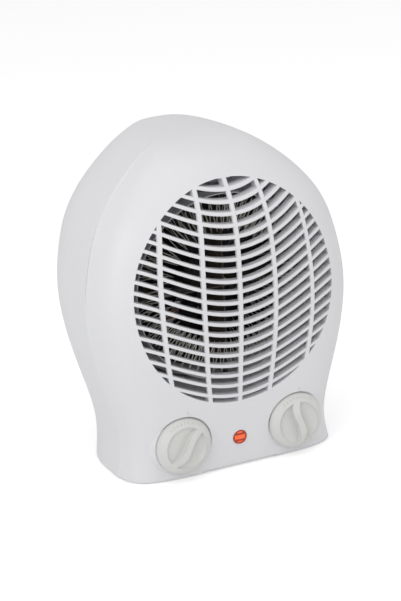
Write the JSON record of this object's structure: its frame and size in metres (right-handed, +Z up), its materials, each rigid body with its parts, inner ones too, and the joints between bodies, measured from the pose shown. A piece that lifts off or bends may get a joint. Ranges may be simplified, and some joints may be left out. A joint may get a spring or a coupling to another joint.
{
  "type": "fan heater",
  "caption": "Upright electric fan heater with a domed slatted outlet grille, rotary controls, a pilot lamp, an axial fan and a wire heating element.",
  "frame": {"origin": "middle of the footprint, on the surface the rubber feet stand on", "axes": "+Z up, the grille and the knobs face -Y, +X to the right of someone who faces the grille"},
  "size_m": [0.2049, 0.1461, 0.2415],
  "materials": {
    "casing_plastic": "satin moulded plastic, white grey",
    "knob_plastic": "satin moulded plastic, warm light grey",
    "spindle_plastic": "natural moulded nylon",
    "switch_plastic": "moulded phenolic, dark",
    "black_plastic": "heat resistant moulded plastic, matt black",
    "bobbin_plastic": "moulded nylon, natural",
    "lamp_amber": "translucent orange red plastic",
    "bulb_glass": "clear glass",
    "mica": "pressed mica board",
    "ceramic": "unglazed steatite",
    "resistance_wire": "drawn nickel chrome wire",
    "plated_steel": "zinc plated sheet steel",
    "bright_steel": "ground steel",
    "motor_steel": "stacked laminations, bare steel",
    "screw_steel": "zinc plated",
    "bimetal": "rolled strip",
    "brass": "bare brass",
    "sintered_bronze": "oil-filled sintered bronze",
    "copper": "enamelled copper wire, wound",
    "rubber": "moulded rubber, matt"
  },
  "bodies": {
    "heater": {"front_casing": "casing_plastic", "rear_casing": "casing_plastic", "selector_switch": "switch_plastic", "selector_terminals": "brass", "thermostat_frame": "plated_steel", "thermostat_stack": "ceramic", "thermostat_bimetal": "bimetal", "thermostat_contact": "brass", "lamp_lens": "lamp_amber", "neon_bulb": "bulb_glass", "lamp_ring": "plated_steel", "mica_plate_level": "mica", "mica_plate_upright": "mica", "heater_shroud": "plated_steel", "fan_duct": "black_plastic", "heating_coil_front": "resistance_wire", "heating_coil_rear": "resistance_wire", "thermal_cutout": "black_plastic", "thermal_fuse": "plated_steel", "stator_core": "motor_steel", "coil_bobbin": "bobbin_plastic", "coil_winding": "copper", "front_bearing_bridge": "plated_steel", "rear_bearing_bridge": "plated_steel", "front_bearing": "sintered_bronze", "rear_bearing": "sintered_bronze", "casing_screws": "screw_steel", "duct_screws": "screw_steel", "motor_screws": "screw_steel", "control_screws": "screw_steel", "rubber_feet": "rubber", "cable_inlet_bush": "black_plastic"},
    "selector": {"selector_knob": "knob_plastic", "selector_spindle": "spindle_plastic"},
    "thermostat": {"thermostat_knob": "knob_plastic", "thermostat_spindle": "brass"},
    "fan": {"impeller": "black_plastic", "motor_shaft": "bright_steel", "motor_rotor": "motor_steel"}
  },
  "joints": [
    {"name": "selector_turn", "type": "hinge", "parent": "heater", "child": "selector", "pos_m": [-0.0453, -0.055, 0.0265], "axis": [0, 1, 0], "range_deg": [-48, 90]},
    {"name": "thermostat_turn", "type": "hinge", "parent": "heater", "child": "thermostat", "pos_m": [0.0453, -0.055, 0.0265], "axis": [0, 1, 0], "range_deg": [-135, 135]},
    {"name": "fan_spin", "type": "hinge", "parent": "heater", "child": "fan", "pos_m": [0, 0.02, 0.134], "axis": [0, 1, 0], "continuous": true}
  ]
}
